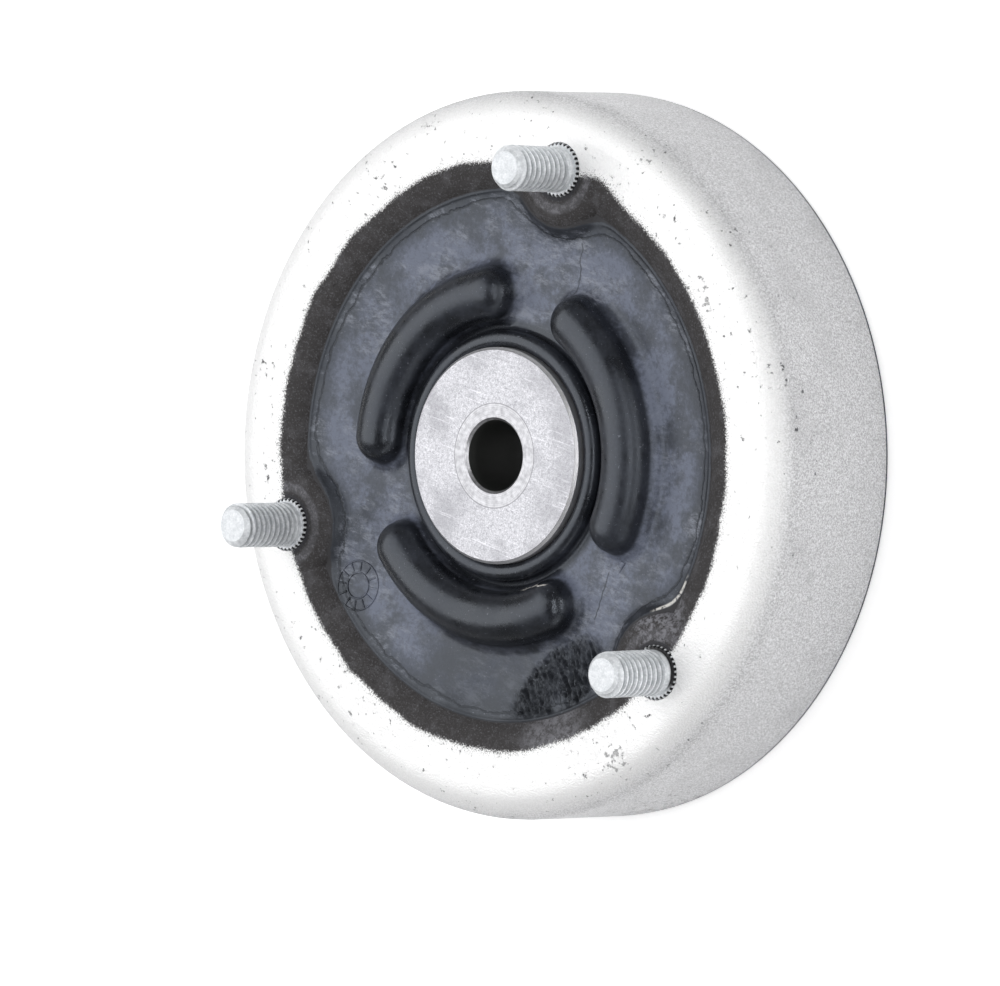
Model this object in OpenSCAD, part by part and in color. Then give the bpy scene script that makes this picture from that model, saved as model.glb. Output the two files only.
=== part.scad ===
// Strut mount: a die-cast drum with three press-in studs, a rubber spring bonded inside it,
// and a metal hub in the rubber whose steel sleeve takes the threaded end of the strut.
// Millimetres. +Z runs along the bore towards the studs, and the back of the drum lies on z = 0.

/* [Housing] */
// outside diameter of the drum at its back rim
housing_d = 128.4; // [124:0.2:134]
// height from the back of the drum to its mounting face
housing_h = 28.5; // [27:0.5:34]
// draft of the cast outer wall in degrees
draft = 1; // [0:0.25:2]
// rounding of the outer front edge
edge_round = 6; // [3:0.5:6]
// thickness of the drum's side wall
skirt_wall = 4.6; // [3.6:0.2:5.6]
// thickness of the front flange
flange_t = 9; // [8.5:0.5:10]
// distance from the stud circle in to the opening of the flange
throat_inset = 7.5; // [6.5:0.5:8.5]
// rounding of the opening's front edge
nose_round = 8; // [6:0.5:8]

/* [Stud bosses] */
// diameter of the boss that carries each stud into the opening
boss_d = 21.4; // [20:0.2:23]
// rounding of the boss's top edge
boss_round = 3.2; // [1.6:0.2:4]

/* [Studs] */
// number of studs, with a rib of rubber between each two
stud_count = 3; // [3:1:4]
// outside diameter of the stud's thread
thread_d = 8; // [6:0.5:9]
// height of the stud above the mounting face
stud_proud = 14.2; // [10:0.2:25]
// flat left at the tip of the thread
tip_d = 5.7; // [4:0.1:5.8]
// diameter over the teeth of the knurled shank
knurl_d = 9.6; // [9.4:0.1:10.4]
// depth of the knurl's teeth
knurl_depth = 0.3; // [0.2:0.05:0.35]
// number of teeth on the knurled shank
knurl_teeth = 32; // [24:2:40]
// height of the knurled shank above the mounting face
knurl_proud = 0.4; // [0:0.1:1]
// diameter of the flat head at the back
head_d = 14; // [12:0.5:15]
// thickness of the flat head
head_t = 3.2; // [2:0.2:4]
// gap between a stud's head and the drum's side wall
head_gap = 1.1; // [0.4:0.1:2.4]

/* [Hub] */
// diameter of the hub's front face
hub_d = 37.9; // [36:0.1:38.2]
// height of the hub's front face above the mounting face
hub_proud = 0.8; // [0:0.1:2]
// thickness of the hub's front disc
hub_disc_t = 7; // [5.5:0.5:8]
// diameter of the waist that the rubber grips
waist_d = 30; // [26:0.5:32]
// diameter of the hub's rear collar
hub_collar_d = 42; // [38:0.5:44]
// thickness of the hub's rear collar
hub_collar_t = 4; // [3:0.5:5]
// distance of the hub's rear face from the back of the drum
hub_recess = 4.5; // [4:0.5:6]
// chamfer on the edges of the hub
hub_chamfer = 0.5; // [0.2:0.1:0.8]

/* [Sleeve] */
// outside diameter of the steel sleeve pressed into the hub
sleeve_d = 18.5; // [17:0.1:20]
// diameter of the bore for the strut
bore_d = 12.4; // [10.2:0.1:14]
// chamfer at both ends of the bore
bore_chamfer = 0.5; // [0.2:0.1:1]

/* [Rubber] */
// thickness of the bonding coat between the drum and the rubber
bond_coat = 0.03; // [0.02:0.01:0.1]
// depth of the rubber's front below the mounting face
rubber_drop = 3.2; // [2.6:0.1:4]
// diameter at which the front starts to rise towards its edge
dish_d = 72.4; // [72:0.2:76]
// reach of the rubber's edge over the rounded edge of the flange
rubber_lap = 2.8; // [2.4:0.1:4]
// height and width of the fine bead along the rubber's edge
bead = 0.4; // [0.2:0.1:0.6]
// width of the rubber collar around the hub
collar_w = 3; // [2.8:0.1:3.2]
// depth of that collar below the hub's face
collar_drop = 1.1; // [0.6:0.1:1.6]
// rounding of that collar's edge
collar_round = 1; // [0.4:0.1:1.4]
// rounding at that collar's foot
collar_foot = 0.9; // [0.6:0.1:1.2]
// width of the rubber slope around each stud boss
boss_lip_w = 2.3; // [1.6:0.1:2.8]
// reach of that rubber over the boss's rounded edge
boss_lip_reach = 0.7; // [0.4:0.1:1]
// thickness of that rubber's top edge
boss_lip_t = 0.2; // [0.1:0.05:0.4]

/* [Ribs] */
// diameter of the circle the ribs' centre lines lie on
rib_pcd = 57.1; // [56.9:0.1:57.5]
// width of a rib across its round back
rib_w = 9.5; // [9.1:0.1:9.8]
// height of a rib above the rubber's front
rib_h = 6.2; // [5.4:0.1:7]
// rounding at a rib's foot
rib_foot = 2.5; // [2.2:0.1:2.7]
// angle between the end centres of neighbouring ribs
rib_gap = 41.4; // [38:0.2:50]
// amount by which a rib's round ends stand out beyond its section
rib_end_swell = 0.05; // [0.03:0.01:0.1]

/* [Rubber, back] */
// depth of the ring-shaped hollow from the back of the drum
hollow_depth = 10.5; // [10:0.25:12]
// thickness of the rubber lining on the drum's side wall
lining_t = 3; // [2:0.25:4]
// thickness of the rubber skin on the back rim
skin_t = 0.6; // [0.4:0.1:1]
// thickness of the rubber around the hub's rear collar
coat_t = 3; // [2:0.25:4]
// rounding in the corners of the hollow
hollow_round = 4; // [2:0.5:4]
// gap left around the stud heads
pocket_gap = 1.5; // [1.2:0.1:2]

/* [Hidden] */
$fn = 96;
over = 1;

face_z = housing_h;
rim_r = housing_d / 2;
edge_z = face_z - edge_round;
edge_r = rim_r - (edge_z - skin_t) * tan(draft);
skirt_r = rim_r - skirt_wall;
flange_z = face_z - flange_t;
stud_r = skirt_r - head_gap - head_d / 2;
throat_r = stud_r - throat_inset;
// the opening keeps a straight wall of this height below its rounded edge
throat_land = 1;
nose = min(nose_round, flange_t - throat_land);
nose_r = throat_r + nose;
nose_z = face_z - nose;
boss_r = boss_d / 2;
boss_z = (flange_z + nose_z) / 2;
// a boss ends on the mounting face, between the stud's hole and the rounded outer edge
boss_end_r = (stud_r + knurl_d / 2 + edge_r - edge_round) / 2;
hub_z = face_z + hub_proud;
front_z = face_z - rubber_drop;
dish_r = dish_d / 2;
rubber_r = throat_r + rubber_lap;
// height of the flange's rounded edge at the rubber's outer edge
rubber_edge_z = nose_z + sqrt(pow(nose, 2) - pow(nose_r - rubber_r, 2));
collar_r = hub_d / 2 + collar_w;
rib_r = rib_pcd / 2;
rib_span = 360 / stud_count - rib_gap;
coat_r = hub_collar_d / 2 + coat_t;
coat_z = hub_recess + hub_collar_t / 2;
lining_r = skirt_r - lining_t;
// a rib's foot meets the rubber's front at this small angle, and its back by this small overlap
foot_angle = 12;
foot_nip = 0.02;

// Shared outlines and places

// a quarter disc around c that rounds an outer corner towards sx, sy
module round_corner(c, r, sx, sy) {
    intersection() {
        translate(c) circle(r);
        translate([c[0] - (sx < 0 ? r : 0), c[1] - (sy < 0 ? r : 0)]) square(r);
    }
}

// the fill that rounds an inner corner at c, reaching towards sx, sy
module fill_corner(c, r, sx, sy) {
    difference() {
        translate([c[0] - (sx < 0 ? r : 0), c[1] - (sy < 0 ? r : 0)]) square(r);
        translate([c[0] + sx * r, c[1] + sy * r]) circle(r);
    }
}

// a rectangle from corner a to corner b
module block(a, b) {
    translate(a) square([b[0] - a[0], b[1] - a[1]]);
}

// the first stud stands on +Y
module at_studs() {
    for (i = [0 : stud_count - 1]) {
        rotate(90 + i * 360 / stud_count) translate([stud_r, 0, 0]) children();
    }
}

// Housing: drum, flange with a rounded opening, and the stud bosses

module housing_section(coat) {
    polygon([
        [skirt_r - coat, skin_t - coat], [rim_r, skin_t - coat], [edge_r, edge_z],
        [edge_r - edge_round, edge_z], [edge_r - edge_round, face_z],
        [nose_r, face_z], [nose_r, nose_z],
        [throat_r - coat, nose_z], [throat_r - coat, flange_z - coat], [skirt_r - coat, flange_z - coat]
    ]);
    round_corner([edge_r - edge_round, edge_z], edge_round, 1, 1);
    round_corner([nose_r, nose_z], nose + coat, -1, 1);
}

module boss_section(coat) {
    block([0, boss_z - coat], [boss_r + coat, face_z - boss_round]);
    block([0, boss_z - coat], [boss_r - boss_round, face_z + coat]);
    round_corner([boss_r - boss_round, face_z - boss_round], boss_round + coat, 1, 1);
}

// coat is the thickness of a coat on the faces that the rubber is bonded to
module housing_blank(coat = 0) {
    rotate_extrude() housing_section(coat);
    intersection() {
        at_studs() rotate_extrude() boss_section(coat);
        cylinder(r = boss_end_r, h = face_z + over);
    }
}

module housing() {
    color("silver") difference() {
        housing_blank();
        at_studs() translate([0, 0, flange_z - over]) cylinder(d = knurl_d, h = flange_t + 2 * over);
    }
}

// Hub: front disc, waist for the rubber and rear collar

module hub_blank() {
    waist_r = waist_d / 2;
    disc_z = hub_z - hub_disc_t;
    top_r = hub_d / 2;
    low_r = hub_collar_d / 2;
    low_z = hub_recess + hub_collar_t;
    rotate_extrude() polygon([
        [0, hub_recess], [low_r - hub_chamfer, hub_recess], [low_r, hub_recess + hub_chamfer],
        [low_r, low_z], [waist_r, low_z + (low_r - waist_r) / 2],
        [waist_r, disc_z - (top_r - waist_r) / 2], [top_r, disc_z],
        [top_r, hub_z - hub_chamfer], [top_r - hub_chamfer, hub_z], [0, hub_z]
    ]);
}

module hub() {
    color("lightgray") difference() {
        hub_blank();
        translate([0, 0, hub_recess - over]) cylinder(d = sleeve_d, h = hub_z - hub_recess + 2 * over);
    }
}

// Sleeve: a steel bush, flush with both faces of the hub

module sleeve() {
    outer_r = sleeve_d / 2;
    bore_r = bore_d / 2;
    color("gray") rotate_extrude() polygon([
        [bore_r + bore_chamfer, hub_recess], [outer_r, hub_recess], [outer_r, hub_z],
        [bore_r + bore_chamfer, hub_z], [bore_r, hub_z - bore_chamfer],
        [bore_r, hub_recess + bore_chamfer]
    ]);
}

// Rubber body: bonded to the drum and the hub, with ribs on its front and a ring-shaped hollow behind

module rubber_section() {
    core_r = waist_d / 2 - over;
    wall_r = skirt_r + over;
    // web between hub and drum, and the front, which rises towards a fine bead at its edge
    block([core_r, hollow_depth], [wall_r, flange_z + over]);
    block([core_r, hollow_depth], [dish_r, front_z]);
    polygon([
        [dish_r, hollow_depth], [rubber_r, hollow_depth], [rubber_r, rubber_edge_z],
        [rubber_r - bead, rubber_edge_z], [dish_r, front_z]
    ]);
    block([rubber_r - bead, front_z], [rubber_r, rubber_edge_z + bead]);
    // collar around the hub
    block([core_r, front_z - over], [collar_r, hub_z - collar_drop - collar_round]);
    block([core_r, front_z - over], [collar_r - collar_round, hub_z - collar_drop]);
    round_corner([collar_r - collar_round, hub_z - collar_drop - collar_round], collar_round, 1, 1);
    fill_corner([collar_r, front_z], collar_foot, 1, 1);
    // lining of the drum, skin on its rim, and the coat around the hub's rear collar
    block([lining_r, 0], [wall_r, hollow_depth + over]);
    block([lining_r, 0], [rim_r - bead, skin_t]);
    block([core_r, coat_z], [coat_r, hollow_depth + over]);
    fill_corner([lining_r, hollow_depth], hollow_round, -1, -1);
    fill_corner([coat_r, hollow_depth], min(hollow_round, hollow_depth - coat_z), 1, -1);
}

// half of a rib across its length: a round back that runs out into a hollow foot
module rib_half(swell = 0) {
    back_r = rib_w / 2 + swell;
    back_z = front_z + rib_h - rib_w / 2;
    foot_z = front_z + rib_foot * cos(foot_angle);
    foot_x = sqrt(pow(back_r + rib_foot - foot_nip, 2) - pow(foot_z - back_z, 2));
    intersection() {
        translate([0, back_z]) circle(back_r);
        block([0, front_z - over], [back_r, back_z + back_r]);
    }
    difference() {
        polygon([[0, front_z - over], [foot_x, front_z - over], [foot_x, foot_z], [0, back_z]]);
        translate([foot_x, foot_z]) circle(rib_foot);
    }
}

module rib_section() {
    rib_half();
    mirror([1, 0]) rib_half();
}

// one rib lies halfway between two studs, and its ends are rounded like its back
module rib() {
    rotate(-rib_span / 2) rotate_extrude(angle = rib_span) translate([rib_r, 0]) rib_section();
    for (side = [-1, 1]) {
        rotate(side * rib_span / 2) translate([rib_r, 0, 0]) rotate_extrude() rib_half(rib_end_swell);
    }
}

// the rubber that slopes up around a stud boss and laps its rounded edge
module boss_lip() {
    top_r = boss_r - boss_lip_reach;
    arc_z = sqrt(pow(boss_round, 2) - pow(boss_round - boss_lip_reach, 2));
    top_z = face_z - boss_round + arc_z + boss_lip_t;
    low_z = front_z - over;
    low_r = top_r + (boss_lip_w + boss_lip_reach) * (top_z - low_z) / (top_z - front_z);
    rotate_extrude() polygon([[0, low_z], [low_r, low_z], [top_r, top_z], [0, top_z]]);
}

module rubber_body() {
    color([0.13, 0.13, 0.14]) difference() {
        union() {
            rotate_extrude() rubber_section();
            for (i = [0 : stud_count - 1]) {
                rotate(90 + (i + 0.5) * 360 / stud_count) rib();
            }
            intersection() {
                at_studs() boss_lip();
                cylinder(r = rubber_r, h = face_z);
            }
        }
        housing_blank(bond_coat);
        hub_blank();
        at_studs() translate([0, 0, -over]) cylinder(d = head_d + 2 * pocket_gap, h = nose_z + over);
    }
}

// Studs: flat head behind the flange, knurled shank in it, thread above it

module stud() {
    knurl_r = knurl_d / 2;
    head_r = head_d / 2;
    head_edge = head_t / 8;
    thread_r = thread_d / 2;
    knurl_z = face_z + knurl_proud;
    tip_z = face_z + stud_proud;
    rotate_extrude() polygon([
        [0, flange_z - head_t], [head_r - head_edge, flange_z - head_t],
        [head_r, flange_z - head_t + head_edge], [head_r, flange_z], [0, flange_z]
    ]);
    translate([0, 0, flange_z]) linear_extrude(height = knurl_z - flange_z) polygon([
        for (i = [0 : 2 * knurl_teeth - 1])
            (knurl_r - (i % 2) * knurl_depth) * [cos(180 * i / knurl_teeth), sin(180 * i / knurl_teeth)]
    ]);
    rotate_extrude() polygon([
        [0, flange_z], [thread_r, flange_z], [thread_r, tip_z - (thread_d - tip_d) / 2],
        [tip_d / 2, tip_z], [0, tip_z]
    ]);
}

module studs() {
    color("gainsboro") at_studs() stud();
}

housing();
rubber_body();
hub();
sleeve();
studs();
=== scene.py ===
# Strut mount: a die-cast drum with three press-in studs, a rubber spring bonded inside it,
# and a metal hub with a steel sleeve. It lies on the back rim of the drum, with the studs up.
import math

import bpy
import numpy as np
from mathutils import Matrix, Vector, noise


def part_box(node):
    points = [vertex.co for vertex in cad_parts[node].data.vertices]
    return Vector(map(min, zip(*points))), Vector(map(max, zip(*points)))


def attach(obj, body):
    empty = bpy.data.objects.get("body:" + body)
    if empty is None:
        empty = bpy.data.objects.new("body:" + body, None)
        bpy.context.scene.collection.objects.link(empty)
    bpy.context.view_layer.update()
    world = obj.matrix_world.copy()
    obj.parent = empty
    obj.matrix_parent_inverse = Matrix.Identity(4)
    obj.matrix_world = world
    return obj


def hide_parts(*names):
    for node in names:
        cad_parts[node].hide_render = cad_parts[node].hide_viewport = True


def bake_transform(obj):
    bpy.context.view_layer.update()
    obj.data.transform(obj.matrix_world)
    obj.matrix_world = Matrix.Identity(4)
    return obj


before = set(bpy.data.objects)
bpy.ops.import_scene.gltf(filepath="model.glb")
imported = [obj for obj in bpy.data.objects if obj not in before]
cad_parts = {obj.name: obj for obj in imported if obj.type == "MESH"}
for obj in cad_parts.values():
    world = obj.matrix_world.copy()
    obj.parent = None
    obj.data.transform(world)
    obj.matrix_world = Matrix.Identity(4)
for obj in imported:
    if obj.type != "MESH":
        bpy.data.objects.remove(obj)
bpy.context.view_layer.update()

MM = 0.001

# Housing
# The drum is die-cast aluminium, blasted to a bright grey. A brown-grey primer for the rubber
# was sprayed round the opening and over the stud bosses before moulding, and its edge is ragged.
stud_circle_r = 51.5
stud_first_deg = 90.0
stud_step_deg = 120.0
half_step_deg = stud_step_deg / 2
round_low_z = 24.2
face_z = 28.4
# the place of each scuff, and its strength
scuffs = (((40.3, -43.3, 28.0), 0.12), ((36.6, 38.7, face_z), 0.075), ((16.9, 59.4, face_z), 0.055),
          ((-30.8, 52.9, face_z), 0.07), ((10.6, -59.9, 26.0), 0.07))
scuff_reach = 5.0
grime_at = (33.0, -54.0, 4.0)
grime_reach = 26.0
primer_r = 51.5
primer_low_z = 19.0
drip_at = (9.75, 54.3, 28.5)
drip_reach = 8.0
drip_width = 1.7
worn_at = (42.2, -16.8, 28.0)
worn_reach = 8.5
rubbed_at = (25.5, -43.3, 28.0)
rubbed_reach = 9.5
cast_grey = (0.37, 0.37, 0.38, 1)
cast_light = (0.76, 0.76, 0.775, 1)
painted_highlight_white = (1.0, 1.0, 1.0, 1)
primer_brown = (0.035, 0.0325, 0.033, 1)
primer_worn = (0.20, 0.20, 0.22, 1)
pit_and_shade_dark = (0.035, 0.035, 0.04, 1)
NUMBER = "NodeSocketFloat"
VECTOR = "NodeSocketVector"


def put(tree, kind, inputs=None, **settings):
    """Adds a node, sets its options, and fills its inputs with values or links."""
    made = tree.nodes.new(kind)
    for name, value in settings.items():
        setattr(made, name, value)
    for key, value in (inputs or {}).items():
        if isinstance(value, bpy.types.NodeSocket):
            tree.links.new(value, made.inputs[key])
        else:
            made.inputs[key].default_value = value
    return made


def calc(tree, operation, a, b=0.0):
    """One step of arithmetic."""
    return put(tree, "ShaderNodeMath", {0: a, 1: b}, operation=operation).outputs[0]


def long_side(tree, a, b):
    """The long side of a right-angled triangle with the short sides a and b."""
    squares = calc(tree, "ADD", calc(tree, "MULTIPLY", a, a), calc(tree, "MULTIPLY", b, b))
    return calc(tree, "SQRT", squares)


def ramp(tree, value, low, high, to_low=0.0, to_high=1.0):
    """A smooth step of value between low and high."""
    ends = {"Value": value, "From Min": low, "From Max": high, "To Min": to_low, "To Max": to_high}
    return put(tree, "ShaderNodeMapRange", ends, interpolation_type="SMOOTHSTEP").outputs[0]


def mix(tree, share, first, second):
    """Two colours mixed by share."""
    return put(tree, "ShaderNodeMix", {0: share, 6: first, 7: second}, data_type="RGBA").outputs[2]


def from_point(tree, place, point):
    """Distance from a point on the mount, in millimetres."""
    return put(tree, "ShaderNodeVectorMath", {0: place, 1: point}, operation="DISTANCE").outputs["Value"]


def new_group(name, inputs, outputs):
    """An empty shader group, from the names and kinds of its inputs and outputs."""
    tree = bpy.data.node_groups.new(name, "ShaderNodeTree")
    for side, sockets in (("INPUT", inputs), ("OUTPUT", outputs)):
        for label, kind in sockets.items():
            tree.interface.new_socket(label, in_out=side, socket_type=kind)
    return tree


# where a point lies on the mount: radius, height and distance from the nearest stud, in millimetres
place_group = new_group(
    "place_on_mount", {}, {"Place": VECTOR, "Radius": NUMBER, "Height": NUMBER, "From Stud": NUMBER}
)
coords = put(place_group, "ShaderNodeTexCoord").outputs["Object"]
place = put(place_group, "ShaderNodeVectorMath", {0: coords, "Scale": 1 / MM}, operation="SCALE").outputs[0]
axes = put(place_group, "ShaderNodeSeparateXYZ", {0: place}).outputs
radius = long_side(place_group, axes[0], axes[1])
angle = calc(place_group, "DEGREES", calc(place_group, "ARCTAN2", axes[1], axes[0]))
turned = calc(place_group, "ADD", angle, half_step_deg - stud_first_deg)
turned = calc(place_group, "FLOORED_MODULO", turned, stud_step_deg)
turned = calc(place_group, "RADIANS", calc(place_group, "SUBTRACT", turned, half_step_deg))
along = calc(place_group, "MULTIPLY", radius, calc(place_group, "COSINE", turned))
along = calc(place_group, "SUBTRACT", along, stud_circle_r)
across = calc(place_group, "MULTIPLY", radius, calc(place_group, "SINE", turned))
from_stud = long_side(place_group, along, across)
put(place_group, "NodeGroupOutput",
    {"Place": place, "Radius": radius, "Height": axes[2], "From Stud": from_stud})

# fine noise from 0 to 1, with its scale in waves per millimetre
grain_group = new_group(
    "grain", {"Place": VECTOR, "Scale": NUMBER, "Detail": NUMBER, "Roughness": NUMBER}, {"Grain": NUMBER}
)
given = put(grain_group, "NodeGroupInput").outputs
noise_field = put(
    grain_group, "ShaderNodeTexNoise",
    {"Vector": given["Place"], "Scale": given["Scale"],
     "Detail": given["Detail"], "Roughness": given["Roughness"]},
).outputs[0]
put(grain_group, "NodeGroupOutput", {"Grain": noise_field})


def grain(tree, place, scale, detail=2.0, roughness=0.5):
    """Places the grain group with its own values."""
    values = {"Place": place, "Scale": scale, "Detail": detail, "Roughness": roughness}
    return put(tree, "ShaderNodeGroup", values, node_tree=grain_group).outputs["Grain"]


def sway(tree, field, reach):
    """A field from 0 to 1 made a shift to both sides, with reach as its full width."""
    return calc(tree, "MULTIPLY", calc(tree, "SUBTRACT", field, 0.5), reach)


def new_material(name):
    """A material with its tree, its shader, and the outputs of the place group."""
    made = bpy.data.materials.new(name)
    made.use_nodes = True
    tree = made.node_tree
    shader = tree.nodes["Principled BSDF"]
    where = put(tree, "ShaderNodeGroup", node_tree=place_group).outputs
    return made, tree, shader, where


def bump(tree, shader, height, strength, distance):
    """Raises the surface by height, with the distance in millimetres."""
    made = put(tree, "ShaderNodeBump", {"Height": height, "Strength": strength, "Distance": distance * MM})
    tree.links.new(made.outputs[0], shader.inputs["Normal"])


def dress(name, material):
    """Gives a node of the frame its material."""
    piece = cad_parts[name]
    piece.data.materials.clear()
    piece.data.materials.append(material)


cast, tree, shader, where = new_material("blasted_cast_aluminium")
place = where["Place"]
sand = grain(tree, place, scale=3.0, roughness=0.6)
sparkle = grain(tree, place, scale=5.0, detail=1.0)
cloud = grain(tree, place, scale=0.09, detail=3.0, roughness=0.55)
tone = calc(tree, "ADD", ramp(tree, sand, 0.36, 0.64, to_high=0.6),
            ramp(tree, sparkle, 0.52, 0.70, to_high=0.4))
metal = mix(tree, tone, cast_grey, cast_light)
metal = mix(tree, ramp(tree, cloud, 0.45, 0.70, to_high=0.30), metal, cast_grey)
# painted highlight: the casting is whitened up its rounded edge to the front face, where the front light
# falls brightest
metal = mix(tree, ramp(tree, where["Height"], round_low_z, face_z, to_high=0.85), metal, painted_highlight_white)
# dark pits and scuffs on the front and its rounded edge, the worst of them below the lower stud,
# and grime low on the wall beneath it
scuffed = 0.0
for scuff_at, strength in scuffs:
    to_scuff = from_point(tree, place, scuff_at)
    scuffed = calc(tree, "MAXIMUM", scuffed, ramp(tree, to_scuff, scuff_reach, 1.0, to_high=strength))
grimy = ramp(tree, from_point(tree, place, grime_at), grime_reach, 5.0)
pit_field = grain(tree, place, scale=0.85, detail=5.0, roughness=0.66)
pit_share = calc(tree, "ADD", calc(tree, "MULTIPLY", cloud, 0.16), scuffed)
pit_share = calc(tree, "ADD", pit_share, calc(tree, "MULTIPLY", grimy, 0.095))
pits = ramp(tree, calc(tree, "ADD", pit_field, pit_share), 0.715, 0.785)
pitted = calc(tree, "MAXIMUM", ramp(tree, where["Height"], 12.0, 24.0), grimy)
pits = calc(tree, "MULTIPLY", pits, pitted)
in_grime = ramp(tree, grimy, 0.1, 0.9, to_low=0.85, to_high=0.5)
in_scuff = ramp(tree, scuffed, 0.0, 0.05, to_low=1.0, to_high=0.62)
pit_depth = calc(tree, "MULTIPLY", in_grime, in_scuff)
metal = mix(tree, calc(tree, "MULTIPLY", pits, pit_depth), metal, pit_and_shade_dark)
# primer round the opening, with a sprayed edge, stray specks outside it, and a drip by the first stud
spray = grain(tree, place, scale=3.4, detail=5.0, roughness=0.75)
drift = grain(tree, place, scale=0.10)
ragged = calc(tree, "ADD", sway(tree, spray, 3.6), sway(tree, drift, 1.8))
past_edge = calc(tree, "ADD", calc(tree, "SUBTRACT", where["Radius"], primer_r), ragged)
drip = ramp(tree, from_point(tree, place, drip_at), drip_reach, 1.0, to_high=drip_width)
past_edge = calc(tree, "SUBTRACT", past_edge, drip)
primer = ramp(tree, past_edge, 0.30, -0.25)
specks = calc(tree, "SUBTRACT", grain(tree, place, scale=4.5), calc(tree, "MULTIPLY", past_edge, 0.07))
specks = calc(tree, "MULTIPLY", ramp(tree, specks, 0.545, 0.60), ramp(tree, past_edge, 2.4, 0.2))
primer = calc(tree, "MAXIMUM", primer, calc(tree, "MULTIPLY", specks, 0.7))
primer = calc(tree, "MULTIPLY", primer, ramp(tree, where["Height"], primer_low_z, primer_low_z + 0.6))
# the ring that a washer has left on the primer, its worn patch by the lower stud, and a rubbed one below
inner_edge = ramp(tree, where["From Stud"], 5.6, 6.3)
outer_edge = ramp(tree, where["From Stud"], 8.0, 7.2)
ring = calc(tree, "MULTIPLY", inner_edge, outer_edge)
patch = ramp(tree, from_point(tree, place, worn_at), worn_reach, 3.5)
smear = grain(tree, place, scale=1.1, detail=6.0, roughness=0.8)
smear = ramp(tree, calc(tree, "ADD", smear, calc(tree, "MULTIPLY", patch, 0.04)), 0.47, 0.62)
ring = calc(tree, "MULTIPLY", ring, ramp(tree, smear, 0.0, 1.0, to_low=0.25, to_high=0.75))
worn = calc(tree, "MAXIMUM", ring, calc(tree, "MULTIPLY", patch, smear))
coat = mix(tree, worn, primer_brown, primer_worn)
rubbing = grain(tree, place, scale=0.8, detail=6.0, roughness=0.8)
rubbed = calc(tree, "MULTIPLY", ramp(tree, from_point(tree, place, rubbed_at), rubbed_reach, 4.0),
              ramp(tree, rubbing, 0.40, 0.60, to_low=0.15, to_high=0.75))
coat = mix(tree, rubbed, coat, primer_worn)
coat = mix(tree, ramp(tree, sand, 0.52, 0.72, to_high=0.36), coat, primer_worn)
thin = grain(tree, place, scale=0.25, detail=6.0, roughness=0.75)
coat = mix(tree, ramp(tree, thin, 0.46, 0.68, to_high=0.20), coat, primer_worn)
# painted shade: the primer is darkened in a ring close round each stud, by the gap at its knurl
coat = mix(tree, ramp(tree, where["From Stud"], 5.7, 5.2), coat, pit_and_shade_dark)
colour = mix(tree, primer, metal, coat)
tree.links.new(colour, shader.inputs["Base Color"])
tree.links.new(calc(tree, "SUBTRACT", 0.40, calc(tree, "MULTIPLY", primer, 0.40)), shader.inputs["Metallic"])
tree.links.new(calc(tree, "ADD", 0.50, calc(tree, "MULTIPLY", primer, 0.25)), shader.inputs["Roughness"])
shader.inputs["Specular IOR Level"].default_value = 0.35
relief = calc(tree, "ADD", sand, calc(tree, "MULTIPLY", pits, -0.8))
bump(tree, shader, relief, strength=0.75, distance=0.22)
dress("housing", cast)

# Studs
# Three zinc-plated steel studs, with a rolled M8 thread, a knurled shank pressed into the boss
# and a flat head behind the flange. One is modelled and copied round the bore.
stud_count = 3
stud_roll_deg = 47
thread_r = 4.0
thread_pitch = 1.25
thread_depth = 0.74
thread_low_z = 29.3
thread_clearance = 0.03
groove_half = 0.38
groove_flank = 0.28
tip_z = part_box("studs")[1].z / MM
tip_chamfer = 1.15
knurl_r = 4.8
knurl_depth = 0.42
knurl_teeth = 32
knurl_top_z = 28.9
knurl_clearance = 0.02
knurl_bevel = 0.28
knurl_bevel_height = 0.25
head_r = 7.0
head_low_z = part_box("studs")[0].z / MM
head_top_z = 19.5
head_edge = 0.4
dark_step_at = (47.6, -21.7, 29.0)
zinc = (0.56, 0.585, 0.61, 1)
zinc_light = (0.90, 0.92, 0.945, 1)
zinc_groove_dark = (0.16, 0.17, 0.18, 1)
knurl_shade_and_step_dark = (0.02, 0.02, 0.022, 1)


def new_mesh_object(name):
    """The object that the last operator added, under a plain name."""
    made = bpy.context.object
    made.name = name
    made.data.name = name
    return made


def put_at_origin(piece):
    """Moves the piece's place and turn into its mesh."""
    bpy.ops.object.select_all(action="DESELECT")
    piece.select_set(True)
    bpy.context.view_layer.objects.active = piece
    bpy.ops.object.transform_apply(location=True, rotation=True, scale=True)


def read_points(piece):
    """The vertices of a piece in millimetres."""
    found = np.empty(len(piece.data.vertices) * 3)
    piece.data.vertices.foreach_get("co", found)
    return found.reshape(-1, 3) / MM


def write_points(piece, points):
    """Moves the vertices of a piece to points in millimetres."""
    piece.data.vertices.foreach_set("co", (points * MM).ravel())
    piece.data.update()


def smooth_step(low, high, value):
    """From 0 at low to 1 at high, level at both ends."""
    t = np.clip((value - low) / (high - low), 0, 1)
    return t * t * (3 - 2 * t)


def rolled_grid(name, around, rows):
    """A flat grid, ready to be rolled up: u runs once around, v from end to end."""
    bpy.ops.object.select_all(action="DESELECT")
    bpy.ops.mesh.primitive_grid_add(x_subdivisions=around, y_subdivisions=len(rows) - 1, size=2 * MM)
    piece = new_mesh_object(name)
    flat = read_points(piece)
    u = (flat[:, 0] + 1) / 2
    v = np.interp((flat[:, 1] + 1) / 2, np.linspace(0, 1, len(rows)), rows)
    return piece, u * 2 * math.pi, v


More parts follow.
